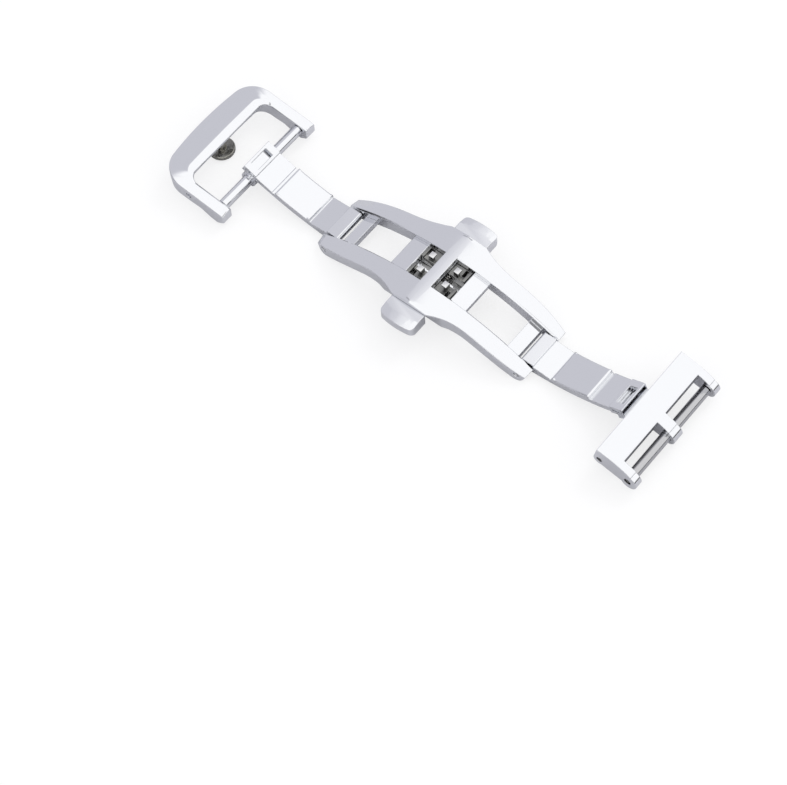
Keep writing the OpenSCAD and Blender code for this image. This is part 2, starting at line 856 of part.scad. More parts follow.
module strap_stud() {
    color(dark_steel)
        at_bar()
            translate([stud_u, 0, 0])
                rotate_extrude()
                    polygon([
                        [0, stud_disc_w - stud_disc_t], [stud_disc_r - stud_disc_edge, stud_disc_w - stud_disc_t],
                        [stud_disc_r, stud_disc_w - stud_disc_t + stud_disc_edge],
                        [stud_disc_r, stud_disc_w - stud_disc_edge], [stud_disc_r - stud_disc_edge, stud_disc_w],
                        [stud_post_r, stud_disc_w], [stud_post_r, stud_top_w], [stud_tail_r, stud_top_w],
                        [stud_tail_r, stud_tail_w], [0, stud_tail_w]
                    ]);
}

// The head

module at_head() {
    translate([head_open_x, 0, head_open_z])
        rotate([0, head_tilt, 0])
            children();
}

module head_bar() {
    intersection() {
        rod(1, head_top_w - head_round, head_round, -head_half, head_half, $fn = arc_fn);
        union() {
            block(head_u0, lug_u, -head_half, head_half, 0, head_top_w + over);
            block(0, lug_u, -head_half, head_half, head_bottom_w, over);
            rod(lug_u, lug_w0, lug_r, -head_half, head_half);
        }
    }
    rod(0, 0, -head_u0, -head_half, head_half);
}

module head_cuts() {
    both_sides()
        block(head_bar_u1, lug_u + lug_r + over, mid_lug_half, strap_half, head_low_w, head_top_w + over);
    rod(0, 0, notch_r, -notch_half, notch_half);
    block(head_u0 - over, head_slot_u, -notch_half, notch_half, head_low_w, notch_top_w);
    block(0, notch_u1, -notch_half, notch_half, head_low_w, notch_ceiling_w);
    rod(0, 0, head_pin_r, -head_half - over, head_half + over);
    rod(strap_bar_u, 0, strap_tube_r + play, -mid_lug_half - over, mid_lug_half + over);
    rod(strap_bar_u, 0, tip_hole_r, -head_half - over, head_half + over);
}

module strap_head() {
    color(steel)
        at_head()
            difference() {
                head_bar();
                head_cuts();
            }
}

module head_hinge_pin() {
    color(dark_steel)
        at_head()
            rod(0, 0, head_pin_r, -head_half + head_pin_recess, head_half - head_pin_recess);
}

module spring_bar_tube() {
    color(dark_steel)
        at_head()
            difference() {
                rod(strap_bar_u, 0, strap_tube_r, -strap_tube_half, strap_tube_half);
                rod(strap_bar_u, 0, tube_bore_r, -strap_tube_half - over, strap_tube_half + over);
            }
}

module spring_bar_tip() {
    rod(strap_bar_u, 0, tip_inner_r, tip_inner_y, tip_collar_y);
    rod(strap_bar_u, 0, strap_tip_r, tip_collar_y, tip_end_y);
}

module spring_bar_tip_left() {
    color(steel)
        at_head()
            mirror([0, 1, 0])
                spring_bar_tip();
}

module spring_bar_tip_right() {
    color(steel)
        at_head()
            spring_bar_tip();
}

module spring_bar_spring() {
    color(dark_steel)
        at_head()
            translate([strap_bar_u, 0, 0])
                coil(strap_spring_r, spring_wire_r, strap_spring_half, 20);
}

bridge_frame();
mechanism_cover();
cover_screws();
buckle_hinge_pin();
strap_hinge_pin();
buckle_blade();
strap_blade();
push_button_front();
push_button_rear();
latch_slide_front();
latch_slide_rear();
return_springs();
buckle_frame();
buckle_bar_tube();
buckle_bar_pin();
strap_stud();
strap_head();
head_hinge_pin();
spring_bar_tube();
spring_bar_tip_left();
spring_bar_tip_right();
spring_bar_spring();
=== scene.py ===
import bpy
import bmesh
import json
import math
from mathutils import Matrix, Vector


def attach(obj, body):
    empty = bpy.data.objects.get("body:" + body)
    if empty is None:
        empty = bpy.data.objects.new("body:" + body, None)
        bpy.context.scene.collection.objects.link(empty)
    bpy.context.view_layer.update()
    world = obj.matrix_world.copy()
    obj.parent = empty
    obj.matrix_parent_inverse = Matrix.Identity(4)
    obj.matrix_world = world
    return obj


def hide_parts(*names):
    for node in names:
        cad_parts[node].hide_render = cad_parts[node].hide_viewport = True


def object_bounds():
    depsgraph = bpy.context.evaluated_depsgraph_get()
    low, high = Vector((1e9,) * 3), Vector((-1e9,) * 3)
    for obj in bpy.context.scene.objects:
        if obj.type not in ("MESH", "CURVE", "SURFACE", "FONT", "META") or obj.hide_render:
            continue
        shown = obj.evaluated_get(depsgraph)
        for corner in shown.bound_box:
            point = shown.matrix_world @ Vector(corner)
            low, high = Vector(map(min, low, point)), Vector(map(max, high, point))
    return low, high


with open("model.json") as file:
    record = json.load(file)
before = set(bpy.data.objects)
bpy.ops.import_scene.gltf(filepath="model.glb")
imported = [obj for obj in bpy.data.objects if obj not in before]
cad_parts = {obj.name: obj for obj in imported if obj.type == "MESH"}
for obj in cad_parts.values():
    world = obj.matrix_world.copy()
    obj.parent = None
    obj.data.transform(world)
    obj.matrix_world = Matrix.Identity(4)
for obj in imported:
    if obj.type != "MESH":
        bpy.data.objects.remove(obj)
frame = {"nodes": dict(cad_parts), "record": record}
cadLow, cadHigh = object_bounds()
mm = 0.001
print("frame loaded with", len(frame["nodes"]), "nodes")


# A hex sRGB colour as the linear RGBA that shaders take
def linearColor(hexText):
    channels = [int(hexText[i:i + 2], 16) / 255 for i in (1, 3, 5)]
    return tuple(c / 12.92 if c <= 0.04045 else ((c + 0.055) / 1.055) ** 2.4 for c in channels) + (1.0,)


def addNode(tree, kind, settings=None, links=None):
    node = tree.nodes.new(kind)
    for name, value in (settings or {}).items():
        if isinstance(name, int) or name in node.inputs:
            node.inputs[name].default_value = value
        else:
            setattr(node, name, value)
    for name, source in (links or {}).items():
        tree.links.new(source, node.inputs[name])
    return node


def newMaterial(name):
    material = bpy.data.materials.new(name)
    material.use_nodes = True
    tree = material.node_tree
    tree.nodes.clear()
    return material, tree


def finishMaterial(tree, shader):
    addNode(tree, "ShaderNodeOutputMaterial", links={"Surface": shader.outputs[0]})


noiseSpread = {"From Min": 0.3, "From Max": 0.7}  # nearly all of a noise texture's values lie in it

# Mirror-polished 316L steel: buffed on a soft wheel, so reflections are sharp but ripple a little
polishedLook = {
    "color": "#e6e7ea",
    "haze": (0.04, 0.09),         # roughness where the wheel cut well, and where it left a haze
    "hazeSize": 6 * mm, "hazeDetail": 3.0, "hazeGrain": 0.55,
    "rippleSize": 5 * mm, "rippleDetail": 1.0, "rippleGrain": 0.4,
    "ripple": 0.003 * mm,
    "scratchSpacing": 0.12 * mm,  # real hairlines are finer, this is as coarse as the picture needs
    "scratchLength": 14.0,        # in spacings
    "scratchTurn": 24, "scratchDetail": 2.0, "scratchGrain": 0.7,
    "scratch": 0.0002 * mm, "scratchShare": 0.35,
    "softEdge": 0.18 * mm,        # the wheel rounds every edge it runs over
    "softEdgeSamples": 6,
}


def polishedSteel(name, look):
    material, tree = newMaterial(name)
    place = addNode(tree, "ShaderNodeTexCoord").outputs["Object"]
    haze = addNode(tree, "ShaderNodeTexNoise", {
        "Scale": 1 / look["hazeSize"], "Detail": look["hazeDetail"], "Roughness": look["hazeGrain"],
    }, {"Vector": place})
    rough = addNode(tree, "ShaderNodeMapRange", {
        **noiseSpread, "To Min": look["haze"][0], "To Max": look["haze"][1],
    }, {"Value": haze.outputs["Fac"]})
    ripple = addNode(tree, "ShaderNodeTexNoise", {
        "Scale": 1 / look["rippleSize"], "Detail": look["rippleDetail"], "Roughness": look["rippleGrain"],
    }, {"Vector": place})
    rounded = addNode(tree, "ShaderNodeBevel", {
        "samples": look["softEdgeSamples"], "Radius": look["softEdge"],
    })
    wavy = addNode(tree, "ShaderNodeBump", {
        "Strength": 1.0, "Distance": look["ripple"],
    }, {"Height": ripple.outputs["Fac"], "Normal": rounded.outputs["Normal"]})
    along = addNode(tree, "ShaderNodeMapping", {
        "Rotation": (0, 0, math.radians(look["scratchTurn"])), "Scale": (1.0, look["scratchLength"], 1.0),
    }, {"Vector": place})
    lines = addNode(tree, "ShaderNodeTexNoise", {
        "Scale": 1 / look["scratchSpacing"] / look["scratchLength"],
        "Detail": look["scratchDetail"], "Roughness": look["scratchGrain"],
    }, {"Vector": along.outputs["Vector"]})
    scratched = addNode(tree, "ShaderNodeBump", {
        "Strength": look["scratchShare"], "Distance": look["scratch"],
    }, {"Height": lines.outputs["Fac"], "Normal": wavy.outputs["Normal"]})
    shader = addNode(tree, "ShaderNodeBsdfPrincipled", {
        "Base Color": linearColor(look["color"]), "Metallic": 1.0,
    }, {"Roughness": rough.outputs["Result"], "Normal": scratched.outputs["Normal"]})
    finishMaterial(tree, shader)
    return material


# Turned steel: the lathe tool leaves fine rings round the axis, which spread the highlights into bands
turnedLook = {
    "color": "#bcbcbe", "roughness": (0.1, 0.2),
    "ringScale": 0.09 * mm,  # a ring and its groove are 2 pi of these
    "waveScale": 20,         # at scale 1 the texture has this many of them to the metre
    "ring": 0.0004 * mm, "ringShare": 0.5, "waver": 0.6, "waverDetail": 2.0, "waverScale": 1.5,
}


def turnedSteel(name, look, axis="Y"):
    material, tree = newMaterial(name)
    place = addNode(tree, "ShaderNodeTexCoord").outputs["Object"]
    rings = addNode(tree, "ShaderNodeTexWave", {
        "wave_type": "BANDS", "bands_direction": axis, "Scale": 1 / look["ringScale"] / look["waveScale"],
        "Distortion": look["waver"], "Detail": look["waverDetail"], "Detail Scale": look["waverScale"],
    }, {"Vector": place})
    rough = addNode(tree, "ShaderNodeMapRange", {
        "To Min": look["roughness"][0], "To Max": look["roughness"][1],
    }, {"Value": rings.outputs["Fac"]})
    cut = addNode(tree, "ShaderNodeBump", {
        "Strength": look["ringShare"], "Distance": look["ring"],
    }, {"Height": rings.outputs["Fac"]})
    shader = addNode(tree, "ShaderNodeBsdfPrincipled", {
        "Base Color": linearColor(look["color"]), "Metallic": 1.0,
    }, {"Roughness": rough.outputs["Result"], "Normal": cut.outputs["Normal"]})
    finishMaterial(tree, shader)
    return material


# Milled steel: cut by an end mill and left greyish and dull; the hooks' tops are painted lighter, a painted
# reflection of the bright sky above them
milledLook = {
    "color": "#8a8a88", "ground": "#e2e2e2", "groundFrom": 3.0 * mm,
    "roughness": (0.24, 0.4),
    "grain": 0.15 * mm, "grainDetail": 2.0, "grainGrain": 0.6,
    "depth": 0.0015 * mm, "depthShare": 0.5,
}


def milledSteel(name, look):
    material, tree = newMaterial(name)
    place = addNode(tree, "ShaderNodeTexCoord").outputs["Object"]
    height = addNode(tree, "ShaderNodeSeparateXYZ", None, {"Vector": place}).outputs["Z"]
    # painted reflection: above this height the colour turns lighter, for the sky the hook tops reflect
    ground = addNode(tree, "ShaderNodeMath", {
        "operation": "GREATER_THAN", 1: look["groundFrom"],
    }, {0: height})
    color = addNode(tree, "ShaderNodeMix", {
        "data_type": "RGBA", 6: linearColor(look["color"]), 7: linearColor(look["ground"]),
    }, {0: ground.outputs[0]})
    grain = addNode(tree, "ShaderNodeTexNoise", {
        "Scale": 1 / look["grain"], "Detail": look["grainDetail"], "Roughness": look["grainGrain"],
    }, {"Vector": place})
    rough = addNode(tree, "ShaderNodeMapRange", {
        **noiseSpread, "To Min": look["roughness"][0], "To Max": look["roughness"][1],
    }, {"Value": grain.outputs["Fac"]})
    cut = addNode(tree, "ShaderNodeBump", {
        "Strength": look["depthShare"], "Distance": look["depth"],
    }, {"Height": grain.outputs["Fac"]})
    shader = addNode(tree, "ShaderNodeBsdfPrincipled", {"Metallic": 1.0}, {
        "Base Color": color.outputs[2], "Roughness": rough.outputs["Result"], "Normal": cut.outputs["Normal"],
    })
    finishMaterial(tree, shader)
    return material


mirror = polishedSteel("mirrorPolishedSteel", polishedLook)
turned = turnedSteel("turnedSteel", turnedLook)
# Faced steel: the stud's disc, cut across its face; its darker colour is painted shade, for the D-frame's
# dark underside that it sits under and reflects
facedShaded = turnedSteel("facedSteelPaintedShade", dict(turnedLook, color="#8f8d87"), "X")
milled = milledSteel("milledSteel", milledLook)
# Window walls: the same end mill on the strap head, a shade lighter and with no painted reflection on top;
# their grey is partly the milled finish and partly painted shade of the windows
shadedWallLook = dict(milledLook, color="#9d9da0", ground="#9d9da0", roughness=(0.3, 0.42))
windowWallShaded = milledSteel("windowWallSteelPaintedShade", shadedWallLook)
# Spring steel: drawn wire, a little darker than turned bar
spring = turnedSteel("springSteel", dict(turnedLook, color="#9c9a97"))
# Sheared steel: the pins' and tips' cut ends sit back in their holes, where no wheel reaches; their very dark
# colour is partly that unpolished finish and partly painted shade of the holes
shearedShaded = turnedSteel("shearedSteelPaintedShade", dict(turnedLook, color="#4a4846", roughness=(0.3, 0.42)))
print("materials made")

bodyOf = {node: body for body, nodes in frame["record"]["behaviour"]["bodies"].items() for node in nodes}


def finishPiece(name, bm, nodeName, material):
    mesh = bpy.data.meshes.new(name)
    bm.to_mesh(mesh)
    bm.free()
    piece = bpy.data.objects.new(name, mesh)
    bpy.context.scene.collection.objects.link(piece)
    mesh.materials.append(material)
    for face in mesh.polygons:
        face.use_smooth = True
    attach(piece, bodyOf[nodeName])
    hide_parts(nodeName)
    return piece


machinedLook = {
    "weld": 0.0005 * mm,  # the CAD's triangles share no corners, so those this close become one
    "flat": 0.3,          # faces that turn by less, in degrees, are one flat face
    "edgeFrom": 12,       # edges that turn by more, in degrees, are broken or sharp
    "segments": 2,
}


# A copy of a CAD node with its flat faces made whole and its edges broken by a width in mm, as a polisher
# leaves them. With no width they stay sharp in shape, and the polished steel itself makes them look soft.
def machinedPiece(name, nodeName, material, width):
    look = machinedLook
    bm = bmesh.new()
    bm.from_mesh(frame["nodes"][nodeName].data)
    bmesh.ops.remove_doubles(bm, verts=bm.verts, dist=look["weld"])
    bmesh.ops.dissolve_limit(bm, angle_limit=math.radians(look["flat"]), verts=bm.verts, edges=bm.edges)
    piece = finishPiece(name, bm, nodeName, material)
    if not width:
        piece.data.set_sharp_from_angle(angle=math.radians(look["edgeFrom"]))
        return piece
    bevel = piece.modifiers.new("brokenEdge", "BEVEL")
    bevel.width = width * mm
    bevel.segments = look["segments"]
    bevel.limit_method = "ANGLE"
    bevel.angle_limit = math.radians(look["edgeFrom"])
    bevel.harden_normals = True
    bevel.use_clamp_overlap = True
    return piece


machinedPiece("bridgeFrame", "bridge_frame", mirror, 0)
machinedPiece("frontButton", "push_button_front", mirror, 0)
machinedPiece("rearButton", "push_button_rear", mirror, 0)
strapHead = machinedPiece("strapHead", "strap_head", mirror, 0)
machinedPiece("barTube", "buckle_bar_tube", mirror, 0.05)
machinedPiece("barPin", "buckle_bar_pin", turned, 0.05)
machinedPiece("strapStud", "strap_stud", facedShaded, 0.05)
machinedPiece("headPin", "head_hinge_pin", shearedShaded, 0.05)
machinedPiece("springBarTube", "spring_bar_tube", turned, 0.05)
machinedPiece("springBarTipLeft", "spring_bar_tip_left", shearedShaded, 0.05)
machinedPiece("springBarTipRight", "spring_bar_tip_right", shearedShaded, 0.05)
machinedPiece("frontSlide", "latch_slide_front", milled, 0.04)
machinedPiece("rearSlide", "latch_slide_rear", milled, 0.04)
machinedPiece("mechanismCover", "mechanism_cover", mirror, 0.06)
machinedPiece("coverScrews", "cover_screws", turned, 0.03)
machinedPiece("buckleHingePin", "buckle_hinge_pin", turned, 0.05)
machinedPiece("strapHingePin", "strap_hinge_pin", turned, 0.05)

# The walls behind the head's two windows are left as the end mill cut them, and their darker grey is also
# painted shade of the windows. The head lies tilted at rest.
headLook = {"tilt": 12.2, "facing": 0.98, "wallArea": 5.0 * mm * mm}
outwards = Vector((math.cos(math.radians(headLook["tilt"])), 0, -math.sin(math.radians(headLook["tilt"]))))
strapHead.data.materials.append(windowWallShaded)
for face in strapHead.data.polygons:
    if face.normal.dot(outwards) > headLook["facing"] and face.area > headLook["wallArea"]:
        face.material_index = 1

for nodeName in ("return_springs", "spring_bar_spring"):
    node = frame["nodes"][nodeName]
    node.data.materials.clear()
    node.data.materials.append(spring)
print("machined pieces made")

# The buckle's D-frame: one section carried round the D, in mm. At each place on it, u is the distance from
# the bar towards the thick end, y the distance from the middle, and w the height above the bar.
frameLook = {
    "bar": (-35.634, -0.716),
    "strapHalf": 9.1, "half": 11.1, "tip": -1.8,
    "innerCorner": 1.5, "innerEnd": 6.5, "corner": 4.2, "end": 11.7, "bow": 60.0,
    "tipTop": 1.05, "rise": 0.1386,  # the arms' tops climb towards the thick end
    "tipDrop": 0.12, "tipRound": 0.8,
    "belly": [
        (-1.8, -1.0), (-1.6, -1.2), (-0.4, -1.95), (1.1, -1.6), (2.8, -0.9),
        (4.9, -0.8), (7.4, -0.5), (8.7, -0.15), (9.3, 1.0), (11.8, 2.3),
    ],
    # Each point of the section: its share of the way from the inner side to the outer, on the arm and on the
    # thick end, what its height on the arm is counted from and by how much, and its height on the thick end
    "section": [
        (0, 0, "innerTop", -0.3, 2.2),
        (0, 0, "innerTop", -0.6, 1.9),
        (0, 0.25, "belly", 0, -0.45),
        (0.33, 0.42, "belly", 0, -0.15),
        (0.67, 0.54, "belly", 0, 1.0),
        (1, 1, "foot", 0, 2.25),  # follows the belly right round the corner, and is level on the thick end
        (1, 1, "outerTop", -0.42, 2.6),
        (0.45, 0.6, "middleTop", -0.02, 2.78),
        (0.18, 0.23, "innerTop", 0, 2.95),
    ],
    "armSteps": 24, "cornerSteps": 16, "endSteps": 10,
    "roundedAt": (0, 5, 6), "round": 0.22, "roundSteps": 12, "sharpFrom": 9,
    "dimpleAt": (5.24, 0.5), "dimpleRadius": 0.5, "dimpleDepth": 0.5, "dimpleSides": 32,
}


# The height of the D-frame's underside above the bar, at a distance from it
def bellyAt(u):
    points = frameLook["belly"]
    for (u0, w0), (u1, w1) in zip(points, points[1:]):
        if u <= u1:
            return w0 + (w1 - w0) * max(0, u - u0) / (u1 - u0)
    return points[-1][1]


# Where each station's inner and outer ends lie, as (u, y), and how far the arm has turned into the thick end
def frameStations():
    look = frameLook
    innerU = look["innerEnd"] - look["innerCorner"]
    cornerY = look["half"] - look["corner"]
    bowCorner = look["bow"] - look["corner"]
    cornerU = look["end"] - look["bow"] + math.sqrt(bowCorner ** 2 - cornerY ** 2)
    bowTurn = math.asin(cornerY / bowCorner)
    stations = []
    for i in range(look["armSteps"] + 1):
        share = i / look["armSteps"]
        inner = (look["tip"] + (innerU - look["tip"]) * share, look["strapHalf"])
        outer = (look["tip"] + (cornerU - look["tip"]) * share, look["half"])
        stations.append((inner, outer, 0.0))
    for i in range(1, look["cornerSteps"] + 1):
        share = i / look["cornerSteps"]
        inTurn, outTurn = math.pi / 2 * share, (math.pi / 2 - bowTurn) * share
        inner = (
            innerU + look["innerCorner"] * math.sin(inTurn),
            look["strapHalf"] - look["innerCorner"] * (1 - math.cos(inTurn)),
        )
        outer = (cornerU + look["corner"] * math.sin(outTurn), cornerY + look["corner"] * math.cos(outTurn))
        stations.append((inner, outer, share * share * (3 - 2 * share)))
    for i in range(1, look["endSteps"] + 1):
        share = 1 - i / look["endSteps"]
        inner = (look["innerEnd"], (look["strapHalf"] - look["innerCorner"]) * share)
        outer = (
            look["end"] - look["bow"] * (1 - math.cos(bowTurn * share)),
            look["bow"] * math.sin(bowTurn * share),
        )
        stations.append((inner, outer, 1.0))
    other = [((a[0], -a[1]), (b[0], -b[1]), turned) for a, b, turned in reversed(stations[:-1])]
    return stations + other


# The section's points in space at one station
def frameSection(inner, outer, turned):
    look = frameLook
    (innerU, innerY), (outerU, outerY) = inner, outer
    drop = look["tipDrop"] * max(0, 1 - (innerU - look["tip"]) / look["tipRound"]) ** 2
    innerTop = look["tipTop"] + look["rise"] * (innerU - look["tip"]) - drop
    outerTop = look["tipTop"] + look["rise"] * (outerU - look["tip"]) - drop
    tops = {"innerTop": innerTop, "outerTop": outerTop, "middleTop": (innerTop + outerTop) / 2}
    places = []
    for armShare, endShare, level, offset, endHeight in look["section"]:
        share = armShare + (endShare - armShare) * turned
        u, y = innerU + (outerU - innerU) * share, innerY + (outerY - innerY) * share
        below = bellyAt(innerU + (outerU - innerU) * armShare)
        armHeight = tops.get(level, below) + offset
        if level == "foot":
            height = armHeight if turned < 1 else endHeight
        else:
            height = armHeight + (endHeight - armHeight) * turned
        places.append(Vector((look["bar"][0] - u, y, look["bar"][1] + height)) * mm)
    return places


def loftFrame():
    look = frameLook
    bm = bmesh.new()
    stations = frameStations()
    verts = [bm.verts.new(place) for place in frameSection(*stations[0])]
    edges = [bm.edges.new((verts[i], verts[(i + 1) % len(verts)])) for i in range(len(verts))]
    bm.faces.new(verts)
    rounded = list(edges)
    for station in stations[1:]:
        ring = bmesh.ops.extrude_edge_only(bm, edges=edges)["geom"]
        edges = [item for item in ring if isinstance(item, bmesh.types.BMEdge)]
        following = [next(e.other_vert(v) for e in v.link_edges if e.other_vert(v) in ring) for v in verts]
        for vert, place in zip(following, frameSection(*station)):
            vert.co = place
        for i in look["roundedAt"]:
            rounded += [e for e in verts[i].link_edges if e.other_vert(verts[i]) is following[i]]
        verts = following
    bm.faces.new(verts)
    bmesh.ops.recalc_face_normals(bm, faces=bm.faces)
    bmesh.ops.bevel(
        bm, geom=rounded + edges, offset=look["round"] * mm, offset_type="OFFSET", affect="EDGES",
        segments=look["roundSteps"], profile=0.5, material=-1, clamp_overlap=True,
    )
    return bm


# The blind dimple in each arm's outer side is drilled by a cutter that is then thrown away
def drillDimples(piece):
    look = frameLook
    u, w = look["dimpleAt"]
    bm = bmesh.new()
    for side in (-1, 1):
        place = Vector((look["bar"][0] - u, side * look["half"], look["bar"][1] + w)) * mm
        bmesh.ops.create_cone(
            bm, cap_ends=True, segments=look["dimpleSides"], radius1=look["dimpleRadius"] * mm,
            radius2=look["dimpleRadius"] * mm, depth=2 * look["dimpleDepth"] * mm,
            matrix=Matrix.Translation(place) @ Matrix.Rotation(math.pi / 2, 4, "X"),
        )
    mesh = bpy.data.meshes.new("dimpleCutter")
    bm.to_mesh(mesh)
    bm.free()
    cutter = bpy.data.objects.new("dimpleCutter", mesh)
    bpy.context.scene.collection.objects.link(cutter)
    drilled = piece.modifiers.new("dimples", "BOOLEAN")
    drilled.object = cutter
    bpy.context.view_layer.update()
    cut = bpy.data.meshes.new_from_object(piece.evaluated_get(bpy.context.evaluated_depsgraph_get()))
    piece.modifiers.clear()
    piece.data = cut
    bpy.data.objects.remove(cutter)


buckleFrame = finishPiece("buckleFrame", loftFrame(), "buckle_frame", mirror)
drillDimples(buckleFrame)
buckleFrame.data.set_sharp_from_angle(angle=math.radians(frameLook["sharpFrom"]))
weighted = buckleFrame.modifiers.new("flatFaces", "WEIGHTED_NORMAL")
weighted.keep_sharp = True
print("buckle frame made")

# The blades: bent plates, drawn closed at the strap's side, in mm. A distance r is from the arch's centre,
# an angle a is in degrees from the middle of the bridge, and an x is a distance from that middle.
bladeLook = {
    "archZ": -40.6, "archR": 44, "half": 2.95, "fold": 152.3,
    "pin": (18.6, 43.0), "pinHole": 0.54, "barrel": 1.04,  # the pin's x and r, and its knuckle
    "flatFrom": 163.8, "knuckle": [(42.322, 23.767), (42.721, 23.803), (43.207, 19.379)],
    "face": 44.1, "rootThin": 0.9, "panel": 1.35, "plain": 0.75, "groove": 0.6,
    "panelFrom": 7.55, "panelTo": 14.45, "grooveFrom": 7.05, "slope": 0.22, "slopeR": 43,
    "catchFrom": 1.05, "catchTo": 3.6, "catchWall": 0.38, "catchLow": 43.05, "slot": (43.4, 43.95),
    "windowFrom": 1.55, "windowTo": 3.05, "windowHalf": 1.75, "windowReach": 3,
    "step": 0.5, "roundStep": 3,                            # degrees for each step of an arc, wide and tight
    "edge": 0.05, "edgeFrom": 20, "side": 0.07, "panelEdge": 0.25, "panelEdgeFrom": 60, "sharpFrom": 4,
}
# How near counts as the same, when faces and edges are picked by where they lie and face
near = {
    "place": 0.001 * mm, "radius": 0.01 * mm, "layer": 0.02 * mm, "cut": 0.0001 * mm,
    "along": 0.99, "across": 0.1,
}


def onBlade(r, a):
    turn = math.radians(a)
    return Vector((r * math.sin(turn), -bladeLook["half"], bladeLook["archZ"] + r * math.cos(turn))) * mm


def angleAt(x):
    return math.degrees(math.asin(x / bladeLook["archR"]))


def radiusOf(place):
    return math.hypot(place.x, place.z - bladeLook["archZ"] * mm)


def turnOf(place):
    return math.degrees(math.atan2(place.x, place.z - bladeLook["archZ"] * mm))


def lineTo(bm, vert, place):
    new = bm.verts.new(place)
    bm.edges.new((vert, new))
    return new


def arcTo(bm, vert, centre, degrees, step):
    steps = max(1, round(abs(degrees) / step))
    turn = math.radians(degrees)
    swept = bmesh.ops.spin(bm, geom=[vert], cent=centre, axis=(0, 1, 0), angle=turn, steps=steps)
    return swept["geom_last"][0]


# Follows the top of a blade's ring or knuckle, a circle round a crosswise axis, between two of its directions
def roundTo(bm, vert, centre, radius, fromTurn, toTurn):
    turn = math.radians(fromTurn)
    start = lineTo(bm, vert, centre + Vector((math.sin(turn), 0, math.cos(turn))) * radius)
    return arcTo(bm, start, centre, toTurn - fromTurn, bladeLook["roundStep"])


def closeLoop(bm, first, last):
    bm.edges.new((last, first))


def hole(bm, centre, radius):
    first = bm.verts.new(centre + Vector((0, 0, radius)))
    last = arcTo(bm, first, centre, 360 - bladeLook["roundStep"], bladeLook["roundStep"])
    closeLoop(bm, first, last)


# The blade's outline on one side, with its slot, its pin's hole and its ring's bore
def bladeProfile(bm, ring, pinCentre, pinTurn):
    look = bladeLook
    step = look["step"]
    archCentre = Vector((0, -look["half"], look["archZ"])) * mm
    ringCentre = Vector((ring["x"], -look["half"], ring["z"])) * mm
    catchA0, catchA1 = angleAt(look["catchFrom"]), angleAt(look["catchTo"])
    windowA0, windowA1 = angleAt(look["windowFrom"]), angleAt(look["windowTo"])
    panelA0, panelA1 = angleAt(look["panelFrom"]), angleAt(look["panelTo"])
    grooveA0 = angleAt(look["grooveFrom"])
    slopeTurn = math.degrees(look["slope"] / look["slopeR"])
    panelR = look["face"] - look["panel"]

    first = bm.verts.new(onBlade(look["catchLow"], catchA0))
    vert = first
    for r, a in ring["before"]:
        vert = lineTo(bm, vert, onBlade(r, a))
    vert = roundTo(bm, vert, ringCentre, ring["radius"] * mm, ring["from"], ring["to"])
    for r, a in ring["after"]:
        vert = lineTo(bm, vert, onBlade(r, a))
    vert = arcTo(bm, vert, archCentre, pinTurn - ring["after"][-1][1], step)
    vert = roundTo(bm, vert, pinCentre, look["barrel"] * mm, pinTurn, look["flatFrom"])
    for r, a in look["knuckle"]:
        vert = lineTo(bm, vert, onBlade(r, a))
    vert = lineTo(bm, vert, onBlade(look["face"] - look["rootThin"], panelA1))
    vert = lineTo(bm, vert, onBlade(panelR + look["slope"], panelA1))
    vert = lineTo(bm, vert, onBlade(panelR, panelA1 - slopeTurn))
    vert = arcTo(bm, vert, archCentre, panelA0 - panelA1 + 2 * slopeTurn, step)
    vert = lineTo(bm, vert, onBlade(panelR + look["slope"], panelA0))
    vert = lineTo(bm, vert, onBlade(look["face"] - look["groove"], panelA0))
    vert = arcTo(bm, vert, archCentre, grooveA0 - panelA0, step)
    vert = lineTo(bm, vert, onBlade(look["face"] - look["plain"], grooveA0))
    vert = arcTo(bm, vert, archCentre, catchA1 - grooveA0, step)
    vert = lineTo(bm, vert, onBlade(look["catchLow"], catchA1))
    vert = arcTo(bm, vert, archCentre, windowA1 - catchA1, step)
    vert = arcTo(bm, vert, archCentre, windowA0 - windowA1, step)
    closeLoop(bm, first, vert)

    slotA0 = angleAt(look["catchFrom"] + look["catchWall"])
    slotA1 = angleAt(look["catchTo"] - look["catchWall"])
    first = bm.verts.new(onBlade(look["slot"][0], slotA0))
    vert = lineTo(bm, first, onBlade(look["slot"][1], slotA0))
    vert = arcTo(bm, vert, archCentre, slotA1 - slotA0, step)
    vert = lineTo(bm, vert, onBlade(look["slot"][0], slotA1))
    vert = arcTo(bm, vert, archCentre, windowA1 - slotA1, step)
    vert = arcTo(bm, vert, archCentre, windowA0 - windowA1, step)
    closeLoop(bm, first, vert)
    hole(bm, pinCentre, look["pinHole"] * mm)
    hole(bm, ringCentre, ring["bore"] * mm)


# The window is cut through the catch plate, between the box's inner face and its slot
def cutWindow(bm):
    look = bladeLook
    windowA0, windowA1 = angleAt(look["windowFrom"]), angleAt(look["windowTo"])
    low, high = look["catchLow"] * mm - near["layer"], look["slot"][0] * mm + near["layer"]

    def plateFaces(margin):
        return [
            f for f in bm.faces if abs(f.normal.y) < near["across"]
            and low < radiusOf(f.calc_center_median()) < high
            and all(low < radiusOf(v.co) < high for v in f.verts)
            and windowA0 - margin < turnOf(f.calc_center_median()) < windowA1 + margin
        ]

    for side in (-1, 1):
        faces = plateFaces(look["windowReach"])
        geom = faces + list({e for f in faces for e in f.edges}) + list({v for f in faces for v in f.verts})
        bmesh.ops.bisect_plane(
            bm, geom=geom, dist=near["cut"],
            plane_co=(0, side * look["windowHalf"] * mm, 0), plane_no=(0, 1, 0),
        )
    opened = [f for f in plateFaces(0) if abs(f.calc_center_median().y) < look["windowHalf"] * mm]
    bmesh.ops.delete(bm, geom=opened, context="FACES")
    bmesh.ops.bridge_loops(bm, edges=[e for e in bm.edges if e.is_boundary])
    bmesh.ops.recalc_face_normals(bm, faces=bm.faces)


